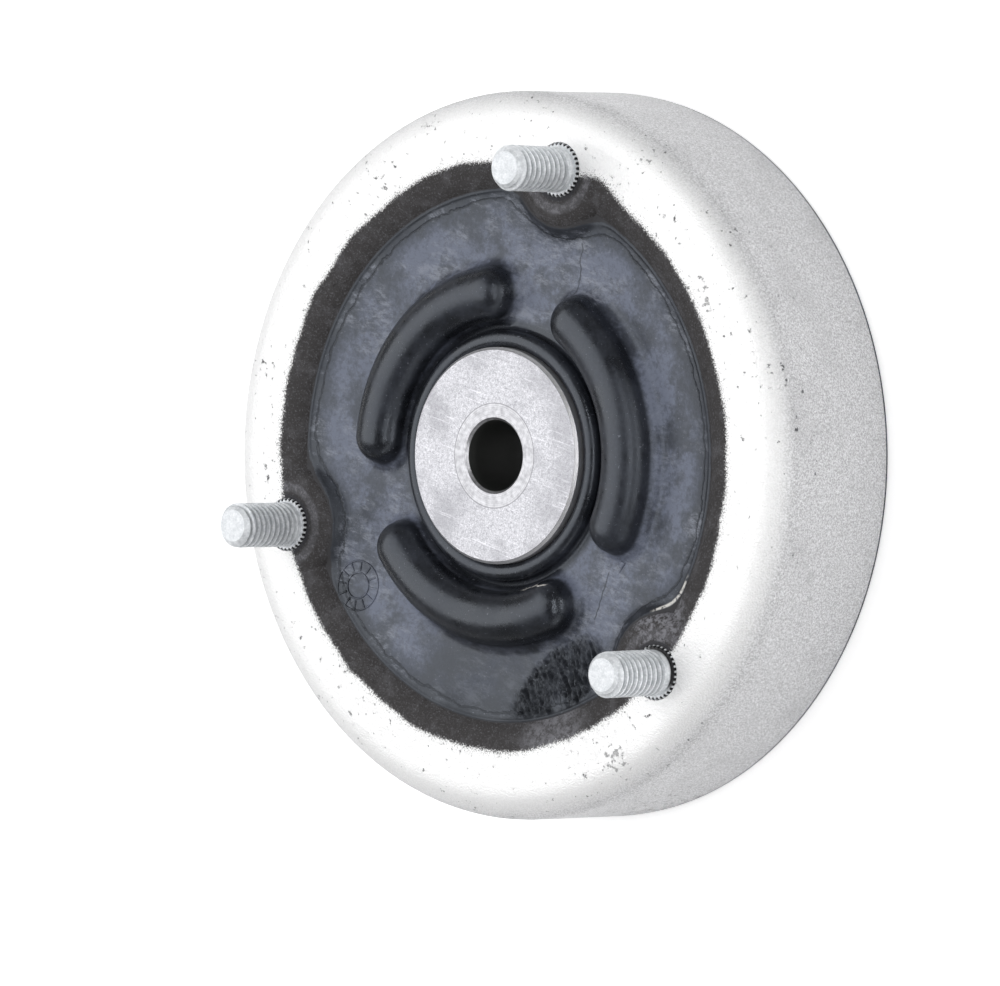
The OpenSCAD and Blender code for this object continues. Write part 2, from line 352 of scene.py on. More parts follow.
def roll_up(piece, bar, turn, height):
    """Rolls a grid up to a bar, merges its seam, fills its two ends and turns its faces outwards."""
    write_points(piece, np.stack([bar * np.cos(turn), bar * np.sin(turn), height], 1))
    bpy.context.view_layer.objects.active = piece
    bpy.ops.object.mode_set(mode="EDIT")
    bpy.ops.mesh.select_all(action="SELECT")
    bpy.ops.mesh.remove_doubles(threshold=0.002 * MM)
    bpy.ops.mesh.select_all(action="DESELECT")
    bpy.ops.mesh.select_mode(type="EDGE")
    bpy.ops.mesh.select_non_manifold(extend=False)
    bpy.ops.mesh.edge_face_add()
    bpy.ops.mesh.select_all(action="SELECT")
    bpy.ops.mesh.normals_make_consistent(inside=False)
    bpy.ops.object.mode_set(mode="OBJECT")


# thread: a helical groove with flat crests, run out at the shank and cut by the tip's cone
thread_rows = np.linspace(thread_low_z - 0.5, tip_z, 150)
thread, turn, height = rolled_grid("stud", 64, thread_rows)
phase = ((height - thread_low_z) / thread_pitch - turn / (2 * math.pi)) % 1.0
groove = smooth_step(0, groove_flank, groove_half - np.abs(phase - 0.5))
run_out = np.clip((height - thread_low_z - 0.2) / (0.8 * thread_pitch), 0, 1)
bar = thread_r - thread_clearance - thread_depth * groove * run_out
cone = thread_r - tip_chamfer + (tip_z - height)
roll_up(thread, np.minimum(bar, cone), turn, height)

# knurled shank, with a small bevel on its teeth at the top
knurl_rows = np.array([head_top_z - 0.2, knurl_top_z - 0.5, knurl_top_z - knurl_bevel_height,
                       knurl_top_z - 0.1, knurl_top_z])
shank, turn, height = rolled_grid("stud_shank", knurl_teeth * 6, knurl_rows)
tooth = (1 - np.cos(turn * knurl_teeth)) / 2
rounded = np.clip((height - knurl_top_z + knurl_bevel_height) / knurl_bevel_height, 0, 1)
bar = knurl_r - knurl_clearance - knurl_depth * tooth - knurl_bevel * rounded**2
roll_up(shank, bar, turn, height)

# flat head behind the flange
bpy.ops.object.select_all(action="DESELECT")
bpy.ops.mesh.primitive_cylinder_add(
    vertices=96, radius=head_r * MM, depth=(head_top_z - head_low_z) * MM,
    location=(0, 0, (head_top_z + head_low_z) / 2 * MM),
)
head = new_mesh_object("stud_head")
put_at_origin(head)
edge_round = head.modifiers.new("edge", "BEVEL")
edge_round.width = head_edge * MM
edge_round.segments = 3
edge_round.limit_method = "ANGLE"
bpy.ops.object.modifier_apply(modifier="edge")

copies = []
for number in range(stud_count):
    spin = Matrix.Rotation(math.radians(stud_first_deg + number * stud_step_deg), 4, "Z")
    roll = Matrix.Rotation(math.radians(stud_roll_deg * number), 4, "Z")
    for source in (thread, shank, head):
        copy = source.copy()
        copy.data = source.data.copy()
        bpy.context.scene.collection.objects.link(copy)
        copy.data.transform(spin @ Matrix.Translation((stud_circle_r * MM, 0, 0)) @ roll)
        copies.append(copy)
for source in (thread, shank, head):
    bpy.data.objects.remove(source)
bpy.ops.object.select_all(action="DESELECT")
for copy in copies:
    copy.select_set(True)
bpy.context.view_layer.objects.active = copies[0]
bpy.ops.object.join()
studs = new_mesh_object("threaded_studs")
bpy.ops.object.shade_smooth_by_angle(angle=math.radians(32))

plated, tree, shader, where = new_material("zinc_plated_steel")
place = where["Place"]
spots = grain(tree, place, scale=0.9, detail=3.0, roughness=0.6)
haze = grain(tree, place, scale=3.0)
tone = calc(tree, "ADD", ramp(tree, spots, 0.30, 0.70, to_high=0.6),
            ramp(tree, haze, 0.45, 0.75, to_high=0.4))
colour = mix(tree, tone, zinc, zinc_light)
# painted shade darkens the gaps of the knurl; the step of the lower stud is darker on one side, and the
# thread darker in its grooves
knurl_gap_shade = calc(tree, "MULTIPLY", ramp(tree, where["From Stud"], knurl_r - 0.10, knurl_r - 0.30),
            ramp(tree, where["Height"], knurl_top_z - 0.01, knurl_top_z - 0.16))
step = calc(tree, "MULTIPLY", ramp(tree, where["From Stud"], knurl_r - 0.10, knurl_r - 0.32),
            ramp(tree, where["Height"], thread_low_z, knurl_top_z))
darker_step = calc(tree, "MULTIPLY", step, ramp(tree, from_point(tree, place, dark_step_at), 6.8, 4.6))
colour = mix(tree, calc(tree, "MAXIMUM", knurl_gap_shade, darker_step), colour, knurl_shade_and_step_dark)
deep = ramp(tree, where["From Stud"], thread_r - 0.25, thread_r - 0.65, to_high=0.55)
grooves = calc(tree, "MULTIPLY", deep, ramp(tree, where["Height"], tip_z - 0.6, tip_z - 1.2))
colour = mix(tree, grooves, colour, zinc_groove_dark)
tree.links.new(colour, shader.inputs["Base Color"])
shader.inputs["Metallic"].default_value = 0.25
tree.links.new(ramp(tree, spots, 0.25, 0.75, to_low=0.38, to_high=0.55), shader.inputs["Roughness"])
bump(tree, shader, calc(tree, "ADD", haze, spots), strength=0.35, distance=0.08)
studs.data.materials.clear()
studs.data.materials.append(plated)
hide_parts("studs")
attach(studs, "housing")

# Hub
# A die-cast aluminium bush that the rubber grips by its waist. Its front face is turned and
# tumbled to a mottled light grey, with a painted highlight along the rim where the edge is broken.
hub_r = 18.95
scratch_deg = 25
hub_grey = (0.25, 0.25, 0.27, 1)
hub_light = (0.70, 0.70, 0.735, 1)
hub_rim_highlight = (0.80, 0.80, 0.82, 1)
hub_dent = (0.12, 0.12, 0.13, 1)
hub_metal, tree, shader, where = new_material("tumbled_hub_aluminium")
place = where["Place"]
mottle = grain(tree, place, scale=1.6, detail=8.0, roughness=0.78)
stain = grain(tree, place, scale=0.11, detail=4.0, roughness=0.6)
fleck = grain(tree, place, scale=4.2, roughness=0.6)
tone = calc(tree, "ADD", ramp(tree, mottle, 0.32, 0.68, to_high=0.65),
            ramp(tree, fleck, 0.42, 0.66, to_high=0.4))
scratched = put(
    tree, "ShaderNodeMapping",
    {"Vector": place, "Rotation": (0, 0, math.radians(scratch_deg)), "Scale": (0.10, 2.2, 1.0)},
).outputs[0]
scratches = ramp(tree, grain(tree, scratched, scale=1.0, detail=3.0, roughness=0.6), 0.60, 0.70, to_high=0.35)
tone = calc(tree, "MULTIPLY", tone, ramp(tree, stain, 0.34, 0.58, to_low=0.45, to_high=1.05))
tone = calc(tree, "ADD", tone, scratches)
colour = mix(tree, tone, hub_grey, hub_light)
# painted highlight: a bright line of colour along the broken edge of the face
rim = ramp(tree, where["Radius"], hub_r - 0.55, hub_r - 0.35)
colour = mix(tree, calc(tree, "MULTIPLY", rim, 0.8), colour, hub_rim_highlight)
dents = ramp(tree, grain(tree, place, scale=0.6, detail=4.0, roughness=0.65), 0.68, 0.74, to_high=0.6)
colour = mix(tree, dents, colour, hub_dent)
tree.links.new(colour, shader.inputs["Base Color"])
shader.inputs["Metallic"].default_value = 0.85
tree.links.new(ramp(tree, mottle, 0.30, 0.70, to_low=0.34, to_high=0.50), shader.inputs["Roughness"])
relief = calc(tree, "ADD", mottle, calc(tree, "MULTIPLY", fleck, 0.5))
bump(tree, shader, relief, strength=0.45, distance=0.10)
dress("hub", hub_metal)

# Sleeve
# A turned steel bush pressed into the hub, faced flush with it. Its bore is coloured near-black
# as painted shade, and the joint with the hub shows as a fine line.
sleeve_r = 9.25
bore_r = 6.2
sleeve_grey = (0.27, 0.27, 0.285, 1)
sleeve_light = (0.56, 0.56, 0.585, 1)
seam_dark = (0.16, 0.16, 0.17, 1)
bore_shade_dark = (0.030, 0.032, 0.030, 1)
sleeve_steel, tree, shader, where = new_material("turned_sleeve_steel")
place = where["Place"]
mottle = grain(tree, place, scale=1.1, detail=4.0, roughness=0.6)
rings = put(tree, "ShaderNodeTexNoise", {"Scale": 6.0, "Detail": 1.0}, noise_dimensions="1D")
tree.links.new(where["Radius"], rings.inputs["W"])
rings = rings.outputs[0]
tone = calc(tree, "ADD", ramp(tree, mottle, 0.3, 0.7, to_high=0.6),
            ramp(tree, rings, 0.35, 0.7, to_high=0.3))
colour = mix(tree, tone, sleeve_grey, sleeve_light)
seam = ramp(tree, where["Radius"], sleeve_r - 0.28, sleeve_r - 0.08)
colour = mix(tree, calc(tree, "MULTIPLY", seam, 0.75), colour, seam_dark)
# painted shade: the inside of the bore is coloured near-black
inside = ramp(tree, where["Radius"], bore_r + 0.10, bore_r + 0.03)
colour = mix(tree, inside, colour, bore_shade_dark)
tree.links.new(colour, shader.inputs["Base Color"])
tree.links.new(calc(tree, "SUBTRACT", 0.9, calc(tree, "MULTIPLY", inside, 0.5)), shader.inputs["Metallic"])
tree.links.new(calc(tree, "ADD", 0.36, calc(tree, "MULTIPLY", inside, 0.2)), shader.inputs["Roughness"])
bump(tree, shader, calc(tree, "ADD", mottle, rings), strength=0.2, distance=0.05)
dress("sleeve", sleeve_steel)

# Rubber body
# One moulding of black rubber, bonded to drum and hub. Three round-backed ribs stand on its
# front, a thin lip runs along its edge and round the bosses, and its back has a ring-shaped hollow.
front_z = 25.3
hub_waist_r = 15.0
collar_r = 21.95
collar_z = 28.2
collar_round = 1.6
collar_foot = 0.9
dish_r = 36.2
rubber_r = 46.8
rubber_edge_z = 26.58
rib_r = 28.55
rib_half = 4.75
rib_back_z = 26.75
rib_foot_r = 2.5
rib_foot_x = 7.16
rib_foot_z = 27.745
rib_reach_deg = 39.3
rib_first_deg = 30.0
boss_lip_in = 10.0
boss_lip_out = 13.0
boss_lip_z = 27.5
lip_blend = 5.0
bead_height = 0.16
bead_in = 0.45
bead_width = 0.30
flange_z = 19.5
nose_centre = (52.0, 20.5)
nose_r = 8.0
nose_inner_r = 44.0
skirt_r = 59.6
rim_r = 64.15
rim_edge = 0.15
skin_t = 0.6
lining_r = 56.6
lining_edge = 0.4
hollow_z = 10.5
hollow_round = 4.0
coat_r = 24.0
coat_z = 6.5
hub_collar_r = 21.0
pocket_r = 8.5
pocket_depth = 21.62
pocket_middle_z = 8.85
pocket_turn_deg = 1.1
sink = 0.06
turns = 480


def arc(centre, size, start_deg, end_deg, count):
    """Points on an arc of the section, both ends included."""
    steps = np.radians(np.linspace(start_deg, end_deg, count))
    return [(centre[0] + size * math.cos(a), centre[1] + size * math.sin(a)) for a in steps]


def front_height(r):
    """Height of the rubber's plain front at radius r, outside the collar."""
    rise = np.clip((r - dish_r) / (rubber_r - dish_r), 0, 1)
    return front_z + (rubber_edge_z - front_z) * rise


# the section of the plain body, from the collar over the front, down the drum and back along the hub
row_stops = [(collar_r + collar_foot, 23.0, 2), (23.0, 25.1, 16), (25.1, 32.0, 18), (32.0, 34.1, 16),
             (34.1, dish_r, 7), (dish_r, 45.4, 28), (45.4, rubber_r, 10)]
rows = sorted({round(float(r), 4) for start, end, count in row_stops for r in np.linspace(start, end, count)})
section = arc((collar_r - collar_round, collar_z - collar_round), collar_round, 150, 0, 12)
section += arc((collar_r + collar_foot, front_z + collar_foot), collar_foot, 180, 262, 6)
section += [(r, float(front_height(np.array(r)))) for r in rows]
edge_deg = math.degrees(math.acos((nose_centre[0] - rubber_r) / (nose_r - sink)))
section += arc(nose_centre, nose_r - sink, 180 - edge_deg, 180, 8)
section += [(nose_inner_r + sink, flange_z + sink), (skirt_r + sink, flange_z + sink)]
section += [(skirt_r + sink, skin_t), (rim_r, skin_t), (rim_r, rim_edge), (rim_r - rim_edge, 0.0)]
section += [(lining_r + lining_edge, 0.0), (lining_r, lining_edge)]
section += arc((lining_r - hollow_round, hollow_z - hollow_round), hollow_round, 0, 90, 8)
section += [(46.0, hollow_z), (36.0, hollow_z)]
section += arc((coat_r + hollow_round, hollow_z - hollow_round), hollow_round, 90, 180, 8)
section += [(coat_r - 0.5, coat_z - 0.02), (hub_collar_r - sink, coat_z - 0.02), (hub_collar_r - sink, 8.5)]
section += [(hub_waist_r - sink, 11.5), (hub_waist_r - sink, 20.3), (hub_r - sink, 22.3)]
section_edges = [(i, (i + 1) % len(section)) for i in range(len(section))]

bpy.ops.object.select_all(action="DESELECT")
bpy.ops.mesh.primitive_plane_add(size=2 * MM)
rubber = new_mesh_object("rubber_spring")
bpy.ops.object.mode_set(mode="EDIT")
bpy.ops.mesh.select_all(action="SELECT")
bpy.ops.mesh.delete(type="VERT")
bpy.ops.object.mode_set(mode="OBJECT")
rubber.data.from_pydata([(r * MM, 0, z * MM) for r, z in section], section_edges, [])
bpy.ops.object.mode_set(mode="EDIT")
bpy.ops.mesh.select_all(action="SELECT")
bpy.ops.mesh.spin(steps=turns, angle=2 * math.pi, center=(0, 0, 0), axis=(0, 0, 1))
bpy.ops.mesh.select_all(action="SELECT")
bpy.ops.mesh.remove_doubles(threshold=0.004 * MM)
bpy.ops.mesh.normals_make_consistent(inside=False)
bpy.ops.object.mode_set(mode="OBJECT")

# the holes that leave the stud heads free
for number in range(stud_count):
    around = math.radians(stud_first_deg + number * stud_step_deg)
    pocket_x = stud_circle_r * math.cos(around)
    pocket_y = stud_circle_r * math.sin(around)
    bpy.ops.object.select_all(action="DESELECT")
    bpy.ops.mesh.primitive_cylinder_add(
        vertices=96, radius=pocket_r * MM, depth=pocket_depth * MM,
        location=(pocket_x * MM, pocket_y * MM, pocket_middle_z * MM),
        rotation=(0, 0, around + math.radians(pocket_turn_deg)),
    )
    drill = new_mesh_object("pocket")
    put_at_origin(drill)
    hole = rubber.modifiers.new("pocket", "BOOLEAN")
    hole.operation = "DIFFERENCE"
    hole.solver = "MANIFOLD"
    hole.object = drill
    bpy.ops.object.select_all(action="DESELECT")
    rubber.select_set(True)
    bpy.context.view_layer.objects.active = rubber
    bpy.ops.object.modifier_apply(modifier="pocket")
    bpy.data.objects.remove(drill)

# a finer mesh where the rubber has wrinkled
patch_at = np.array([22.3, -35.0])
patch_along = np.array([0.62, 0.785])
patch_half_long = 14.0
patch_half_wide = 6.6


def in_patch(points):
    """How far into the wrinkled patch a point lies: below 0 outside it, 1 at its middle."""
    off = points[:, :2] - patch_at
    along = off @ patch_along
    across = off @ np.array([patch_along[1], -patch_along[0]])
    return 1 - np.hypot(along / patch_half_long, across / patch_half_wide)


def front_points(points):
    """Which points lie on the plain front, between the collar and the edge."""
    r = np.hypot(points[:, 0], points[:, 1])
    level = np.abs(points[:, 2] - front_height(r)) < 0.02
    return level & (r > collar_r + collar_foot - 0.01) & (r < rubber_r + 0.01)


points = read_points(rubber)
inside = front_points(points) & (in_patch(points) > -0.1)
bpy.ops.object.mode_set(mode="EDIT")
bpy.ops.mesh.select_mode(type="VERT")
bpy.ops.mesh.select_all(action="DESELECT")
bpy.ops.object.mode_set(mode="OBJECT")
rubber.data.vertices.foreach_set("select", inside)
bpy.ops.object.mode_set(mode="EDIT")
bpy.ops.mesh.select_mode(type="FACE")
bpy.ops.mesh.subdivide(number_cuts=2)
bpy.ops.object.mode_set(mode="OBJECT")


# the ribs, the lips and the wrinkles are raised from the plain front
def distance_to_rib(r, deg):
    """Distance from the centre line of the nearest rib, whose ends are round."""
    off = (deg - rib_first_deg + half_step_deg) % stud_step_deg - half_step_deg
    past = np.radians(np.clip(np.abs(off) - rib_reach_deg, 0, None))
    return np.sqrt((r * np.cos(past) - rib_r) ** 2 + (r * np.sin(past)) ** 2)


def rib_height(d):
    """Section of a rib: a round back that runs out into a hollow foot."""
    back = rib_back_z + np.sqrt(np.clip(rib_half**2 - d**2, 0, None))
    foot = rib_foot_z - np.sqrt(np.clip(rib_foot_r**2 - (rib_foot_x - d) ** 2, 0, None))
    meet = rib_half * rib_foot_x / (rib_half + rib_foot_r)
    return np.where(d < meet, back, np.where(d < rib_foot_x - 0.52, foot, 0.0))


def distance_to_stud(r, deg):
    """Distance from the axis of the nearest stud."""
    off = np.radians((deg - stud_first_deg + half_step_deg) % stud_step_deg - half_step_deg)
    return np.hypot(r * np.cos(off) - stud_circle_r, r * np.sin(off))


def smooth_least(a, b, width):
    """The smaller of a and b, with the corner between them rounded."""
    near = np.clip(width - np.abs(a - b), 0, None) / width
    return np.minimum(a, b) - near * near * width / 4


def polar(points):
    """Radius and angle in degrees of each point."""
    return np.hypot(points[:, 0], points[:, 1]), np.degrees(np.arctan2(points[:, 1], points[:, 0]))


def edge_distance(points):
    """Distance from the bonded edge of the front, with round corners beside the bosses."""
    r, deg = polar(points)
    return smooth_least(distance_to_stud(r, deg) - boss_lip_in, rubber_r - r, lip_blend)


points = read_points(rubber)
on_front = front_points(points)
r, deg = polar(points)
plain = front_height(r)
rib = rib_height(distance_to_rib(r, deg))
stud_d = distance_to_stud(r, deg)
lip_slope = (boss_lip_z - front_z) / (boss_lip_out - boss_lip_in)
lip = np.minimum(boss_lip_z, boss_lip_z - (stud_d - boss_lip_in) * lip_slope)
lip = plain + np.clip(lip - plain, 0, None) * (1 - smooth_step(rubber_r - 2.5, rubber_r, r))
edge_d = edge_distance(points)
bead = bead_height * np.exp(-(((edge_d - bead_in) / bead_width) ** 2))
raised = np.maximum(np.maximum(plain, rib), lip) + bead
raised = np.where(stud_d < boss_lip_in - 1.2, flange_z + 1.0, raised)
wrinkled = smooth_step(0.0, 0.30, in_patch(points)) * smooth_step(0.4, 1.6, edge_d)
ridge_way = np.array([0.69, -0.72])
ridge_side = np.array([-ridge_way[1], ridge_way[0]])
for i in np.nonzero(on_front & (wrinkled > 0) & (stud_d > boss_lip_in))[0]:
    u = points[i, :2] @ ridge_way
    v = points[i, :2] @ ridge_side
    wave = noise.noise(Vector((u * 0.40, v * 1.5, 0.3))) + 0.5 * noise.noise(Vector((u * 0.9, v * 2.6, 4.0)))
    patchy = noise.noise(Vector((u * 0.16, v * 0.16, 9.0)))
    wrinkled[i] *= min(max(1.30 + 1.5 * patchy, 0), 1)
    raised[i] += (0.80 * wave - 0.20) * wrinkled[i]
points[:, 2] = np.where(on_front, raised, points[:, 2])
write_points(rubber, points)
bpy.ops.object.shade_smooth_by_angle(angle=math.radians(38))

# a moulded dial with twelve strokes, and a spur of flash at the end of a rib
dial_at = np.array([-27.3, -32.0])
dial_r = 4.4
dial_inner_r = 2.3
dial_rise = 0.18
dial_strokes = 12
dial_first_deg = 8
stroke_middle_r = (dial_r + dial_inner_r) / 2 + 0.15
stroke_length = (dial_r - dial_inner_r) * 0.8
spur_at = (30.0, -10.4)
spur_deg = -100.0
spur_length = 2.6
spur_r = 0.75
spur_tip_r = 0.05
marks = []
for size in (dial_r, dial_inner_r):
    bpy.ops.object.select_all(action="DESELECT")
    bpy.ops.mesh.primitive_torus_add(
        major_radius=size * MM, minor_radius=dial_rise * MM, major_segments=72, minor_segments=8
    )
    marks.append(new_mesh_object("dial_ring"))
for number in range(dial_strokes):
    way = math.radians(360 / dial_strokes * number + dial_first_deg)
    bpy.ops.object.select_all(action="DESELECT")
    bpy.ops.mesh.primitive_cylinder_add(
        vertices=10, radius=dial_rise * MM, depth=stroke_length * MM,
        location=(stroke_middle_r * math.cos(way) * MM, stroke_middle_r * math.sin(way) * MM, 0),
        rotation=(math.pi / 2, 0, way + math.pi / 2),
    )
    marks.append(new_mesh_object("dial_stroke"))
    put_at_origin(marks[-1])
for mark in marks:
    points = read_points(mark)
    points[:, :2] += dial_at
    points[:, 2] += front_height(np.hypot(points[:, 0], points[:, 1])) + 0.02
    write_points(mark, points)
bpy.ops.object.select_all(action="DESELECT")
bpy.ops.mesh.primitive_cone_add(
    vertices=16, radius1=spur_r * MM, radius2=spur_tip_r * MM, depth=spur_length * MM,
    rotation=(0, math.pi / 2, 0), location=(spur_length / 2 * MM, 0, 0),
)
spur = new_mesh_object("flash_spur")
put_at_origin(spur)
spur.data.transform(
    Matrix.Translation((spur_at[0] * MM, spur_at[1] * MM, front_z * MM))
    @ Matrix.Rotation(math.radians(spur_deg), 4, "Z") @ Matrix.Diagonal((1, 1, 0.5, 1))
)
marks.append(spur)
bpy.ops.object.select_all(action="DESELECT")
for mark in marks:
    mark.select_set(True)
bpy.context.view_layer.objects.active = marks[0]
bpy.ops.object.shade_smooth_by_angle(angle=math.radians(50))
rubber.select_set(True)
bpy.context.view_layer.objects.active = rubber
bpy.ops.object.join()

# fields on the mesh for the material: the way to the bonded edge and the wrinkles
far_from_edge = 20.0
points = read_points(rubber)
r, deg = polar(points)
facing = (points[:, 2] > front_z - 0.6) & (r > collar_r + collar_foot)
edge_d = np.where(facing, edge_distance(points), far_from_edge)
edge_field = rubber.data.attributes.new("edge_distance", "FLOAT", "POINT")
edge_field.data.foreach_set("value", edge_d.astype(np.float32))
wrinkle_field = rubber.data.attributes.new("wrinkled", "FLOAT", "POINT")
wrinkle_share = np.zeros(len(points))
wrinkle_share[: len(wrinkled)] = np.where(on_front, wrinkled, 0)
wrinkle_field.data.foreach_set("value", wrinkle_share.astype(np.float32))


def thin_line(tree, place, height, start, end, width):
    """Mask of a thin, slightly crooked line on the front, from start to end."""
    way = Vector(end) - Vector(start)
    unit = way.normalized()
    off = put(tree, "ShaderNodeVectorMath", {0: place, 1: (*start, 0)}, operation="SUBTRACT").outputs[0]
    along = put(tree, "ShaderNodeVectorMath", {0: off, 1: (*unit, 0)}, operation="DOT_PRODUCT")
    along = along.outputs["Value"]
    across = put(tree, "ShaderNodeVectorMath", {0: off, 1: (-unit.y, unit.x, 0)}, operation="DOT_PRODUCT")
    across = calc(tree, "ADD", across.outputs["Value"], sway(tree, grain(tree, place, scale=0.5), 1.6))
    line = ramp(tree, calc(tree, "ABSOLUTE", across), width, width / 3)
    from_start = ramp(tree, along, -0.3, 0.3)
    to_end = ramp(tree, along, way.length + 0.3, way.length - 0.3)
    line = calc(tree, "MULTIPLY", line, calc(tree, "MULTIPLY", from_start, to_end))
    return calc(tree, "MULTIPLY", line, ramp(tree, height, 24.6, 25.0))


knit_lines = (((6.7, 40.2), (7.45, 30.9)), ((27.5, -13.0), (26.8, -21.9)))
whitish_line_ends = ((11.2, -20.9), (17.6, -18.0))
whitish_line_at = (43.0, -12.4, 27.0)
wiped_at = (7.0, -39.0, 25.0)
wiped_reach = 24.0
streak_deg = -35
edge_line_in = 1.9
rubber_black = (0.0055, 0.006, 0.0075, 1)
rubber_bloom = (0.118, 0.132, 0.178, 1)
rubber_chalk = (0.24, 0.255, 0.30, 1)
rubber_sheen = (0.82, 0.89, 1.0, 1)
whitish_line_colour = (0.62, 0.60, 0.56, 1)
moulded, tree, shader, where = new_material("bloomed_black_rubber")
place = where["Place"]
edge = put(tree, "ShaderNodeAttribute", attribute_name="edge_distance").outputs["Fac"]
wrinkles = put(tree, "ShaderNodeAttribute", attribute_name="wrinkled").outputs["Fac"]
cloud = grain(tree, place, scale=0.12, detail=7.0, roughness=0.70)
fine = grain(tree, place, scale=1.3, detail=4.0, roughness=0.65)
# ribs and collar are glossy black, the flat front between them has a blue-grey bloom, wiped off in places
on_ribs = calc(tree, "MULTIPLY", ramp(tree, where["Height"], 25.9, 27.2),
               ramp(tree, where["Radius"], 39.0, 36.5))
glossy = calc(tree, "MAXIMUM", on_ribs, ramp(tree, where["Radius"], 24.6, 23.0))
glossy = calc(tree, "MAXIMUM", glossy, wrinkles)
dull = calc(tree, "SUBTRACT", 1.0, glossy)
kept = ramp(tree, from_point(tree, place, wiped_at), 9.0, wiped_reach, to_low=0.30, to_high=1.15)
bloom = calc(tree, "MULTIPLY", ramp(tree, cloud, 0.39, 0.60, to_low=0.20),
             ramp(tree, edge, 0.8, 6.0, to_low=0.08))
bloom = calc(tree, "MULTIPLY", bloom, kept)
bloom = calc(tree, "MULTIPLY", bloom, calc(tree, "ADD", calc(tree, "MULTIPLY", dull, 0.89), 0.11))
bloom = calc(tree, "MULTIPLY", bloom, ramp(tree, fine, 0.35, 0.65, to_low=0.68, to_high=1.15))
bloom = calc(tree, "MULTIPLY", bloom, ramp(tree, where["Height"], 12.0, 24.0, to_low=0.35))
colour = mix(tree, bloom, rubber_black, rubber_bloom)
# whitish streaks and dust
stretched = put(
    tree, "ShaderNodeMapping",
    {"Vector": place, "Rotation": (0, 0, math.radians(streak_deg)), "Scale": (0.35, 0.9, 1.0)},
).outputs[0]
streaks = ramp(tree, grain(tree, stretched, scale=0.55, detail=9.0, roughness=0.84), 0.46, 0.62)
streaked = ramp(tree, grain(tree, place, scale=0.065, detail=5.0, roughness=0.68), 0.44, 0.56)
streaks = calc(tree, "MULTIPLY", calc(tree, "MULTIPLY", streaks, streaked), dull)
streaks = calc(tree, "MULTIPLY", streaks, ramp(tree, edge, 0.3, 1.5))
streaks = calc(tree, "MULTIPLY", streaks, ramp(tree, where["Height"], 12.0, 24.0, to_low=0.25))
streaks = calc(tree, "MULTIPLY", streaks, kept)
dust = ramp(tree, grain(tree, place, scale=2.1, roughness=0.6), 0.665, 0.74, to_high=0.6)
chalky = calc(tree, "MAXIMUM", calc(tree, "MULTIPLY", streaks, 0.80), dust)
colour = mix(tree, calc(tree, "MULTIPLY", chalky, 0.75), colour, rubber_chalk)
# a crooked groove inside the edge, bumped and also painted dark as painted shade, knit lines where the flows
# of rubber met, and thin whitish lines
wander = sway(tree, grain(tree, place, scale=0.22, detail=4.0, roughness=0.65), 2.6)
off_line = calc(tree, "ABSOLUTE", calc(tree, "ADD", calc(tree, "SUBTRACT", edge, edge_line_in), wander))
broken = ramp(tree, fine, 0.36, 0.50, to_low=0.25, to_high=0.85)
groove_shade_line = calc(tree, "MULTIPLY", ramp(tree, off_line, 0.30, 0.08), broken)
# painted shade: the groove is darkened in colour as well as in the bump
colour = mix(tree, groove_shade_line, colour, rubber_black)
for start, end in knit_lines:
    knit = thin_line(tree, place, where["Height"], start, end, 0.22)
    colour = mix(tree, calc(tree, "MULTIPLY", knit, 0.8), colour, rubber_black)
# thin whitish lines, one on the front and one along the bead beside the lower boss
whitish_lines = thin_line(tree, place, where["Height"], *whitish_line_ends, 0.20)
off_bead = calc(tree, "ABSOLUTE", calc(tree, "SUBTRACT", edge, bead_in))
along_boss = ramp(tree, from_point(tree, place, whitish_line_at), 5.5, 3.5)
along_boss = calc(tree, "MULTIPLY", ramp(tree, off_bead, 0.35, 0.10), along_boss)
whitish_lines = calc(tree, "MULTIPLY", calc(tree, "MAXIMUM", whitish_lines, along_boss), ramp(tree, fine, 0.40, 0.52))
colour = mix(tree, whitish_lines, colour, whitish_line_colour)
painted = ramp(tree, calc(tree, "ADD", edge, sway(tree, fine, 0.6)), 0.25, 0.05)
colour = mix(tree, painted, colour, primer_brown)
tree.links.new(colour, shader.inputs["Base Color"])
rough = ramp(tree, cloud, 0.40, 0.60, to_low=0.38, to_high=0.52)
rough = calc(tree, "ADD", rough, calc(tree, "MULTIPLY", glossy, -0.12))
rough = calc(tree, "ADD", rough, calc(tree, "MULTIPLY", wrinkles, 0.22))
rough = calc(tree, "ADD", rough, calc(tree, "MULTIPLY", painted, 0.4))
tree.links.new(rough, shader.inputs["Roughness"])
shader.inputs["Specular IOR Level"].default_value = 0.63
shader.inputs["Specular Tint"].default_value = rubber_sheen
relief = calc(tree, "ADD", fine, calc(tree, "MULTIPLY", cloud, 1.5))
relief = calc(tree, "SUBTRACT", relief, calc(tree, "MULTIPLY", groove_shade_line, 4.5))
bump(tree, shader, relief, strength=0.30, distance=0.14)
rubber.data.materials.clear()
rubber.data.materials.append(moulded)
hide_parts("rubber_body")
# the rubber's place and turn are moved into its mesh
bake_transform(rubber)

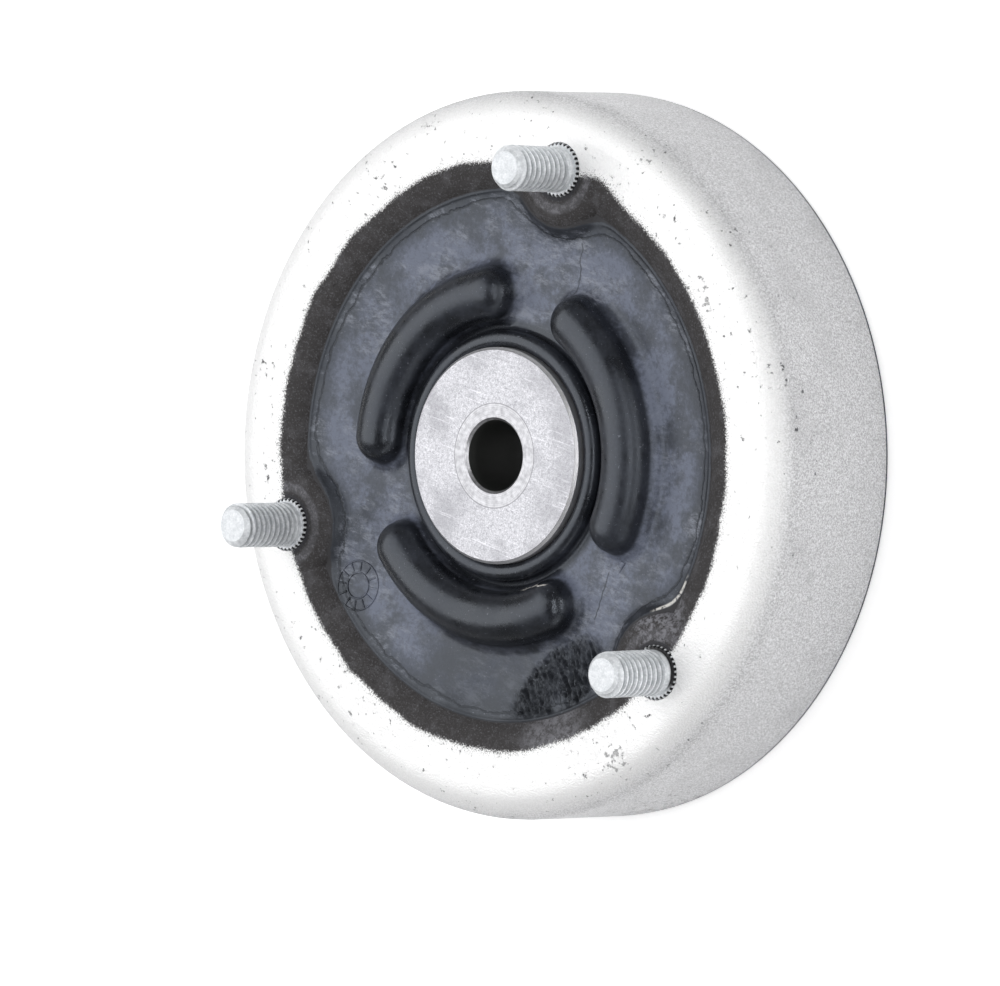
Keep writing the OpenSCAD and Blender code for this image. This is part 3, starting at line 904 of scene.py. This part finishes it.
# Floor, light and camera
# A wide white table under a bright tent of light, seen from the front of the mount. The table is
# clear from below, where it would hide the back of the mount.
bpy.ops.object.select_all(action="DESELECT")
bpy.ops.mesh.primitive_plane_add(size=6.0, location=(0, 0, -0.02 * MM))
floor = new_mesh_object("floor")
put_at_origin(floor)
white = bpy.data.materials.new("white_table")
white.use_nodes = True
tree = white.node_tree
shader = tree.nodes["Principled BSDF"]
shader.inputs["Base Color"].default_value = (0.95, 0.95, 0.95, 1)
shader.inputs["Roughness"].default_value = 0.9
shader.inputs["Emission Color"].default_value = (1, 1, 1, 1)
shader.inputs["Emission Strength"].default_value = 0.40
below = put(tree, "ShaderNodeNewGeometry").outputs["Backfacing"]
clear = put(tree, "ShaderNodeBsdfTransparent").outputs[0]
one_sided = put(tree, "ShaderNodeMixShader", {0: below, 1: shader.outputs[0], 2: clear})
tree.links.new(one_sided.outputs[0], tree.nodes["Material Output"].inputs["Surface"])
floor.data.materials.append(white)

# the camera stands in front of the face, which is turned a little about its bore
face_turn_deg = 15.83
centre = Vector((0, 0, 29.3)) * MM
eye_at = Vector((792.43, 9.60, 908.69)) * MM
aim_at = Vector((1.398, -6.507, 0.0)) * MM
sensor_width = 36
lens_in_sensors = 6.9138
look = Matrix.Rotation(math.radians(face_turn_deg), 3, "Z")
forward = look @ (aim_at - eye_at).normalized()
right = forward.cross(look @ Vector((0, 1, 0))).normalized()
up = right.cross(forward)
eye = bpy.data.cameras.new("camera")
eye.sensor_fit = "HORIZONTAL"
eye.sensor_width = sensor_width
eye.lens = sensor_width * lens_in_sensors
eye.clip_end = 20
camera = bpy.data.objects.new("camera", eye)
bpy.context.scene.collection.objects.link(camera)
camera_turn = Matrix((right, up, -forward)).transposed().to_4x4()
camera.matrix_world = Matrix.Translation(centre + look @ eye_at) @ camera_turn
bpy.context.scene.camera = camera


def softbox(name, direction, distance, width, length, power):
    """An area light that shines at the mount from a direction given in the camera's turn."""
    lamp = bpy.data.lights.new(name, "AREA")
    lamp.shape = "RECTANGLE"
    lamp.size = width
    lamp.size_y = length
    lamp.energy = power
    held = bpy.data.objects.new(name, lamp)
    bpy.context.scene.collection.objects.link(held)
    away = (look @ Vector(direction)).normalized()
    held.location = centre + away * distance
    held.rotation_mode = "QUATERNION"
    held.rotation_quaternion = away.to_track_quat("Z", "Y")


softbox("front_light", (-0.42, 0.14, 0.88), distance=1.5, width=2.0, length=2.0, power=26)
softbox("camera_strip", (0.74, 0.05, 0.67), distance=1.4, width=1.5, length=0.07, power=6)
softbox("side_strip", (0.98, 0.05, 0.17), distance=1.4, width=1.5, length=0.07, power=5)
softbox("low_fill", (0.52, -0.82, 0.24), distance=1.4, width=1.2, length=0.4, power=1.8)
# the tent is open on the camera's side, and darker there
surround = bpy.data.worlds.new("white_tent")
bpy.context.scene.world = surround
surround.use_nodes = True
tree = surround.node_tree
background = tree.nodes["Background"]
ways = put(tree, "ShaderNodeTexCoord").outputs["Generated"]
to_front = put(tree, "ShaderNodeVectorMath", {0: ways, 1: -forward}, operation="DOT_PRODUCT").outputs["Value"]
tent_light = ramp(tree, to_front, 0.35, 0.95, to_low=0.22, to_high=0.04)
tree.links.new(tent_light, background.inputs["Strength"])
background.inputs["Color"].default_value = (1, 1, 1, 1)
bpy.context.scene.view_settings.view_transform = "Standard"
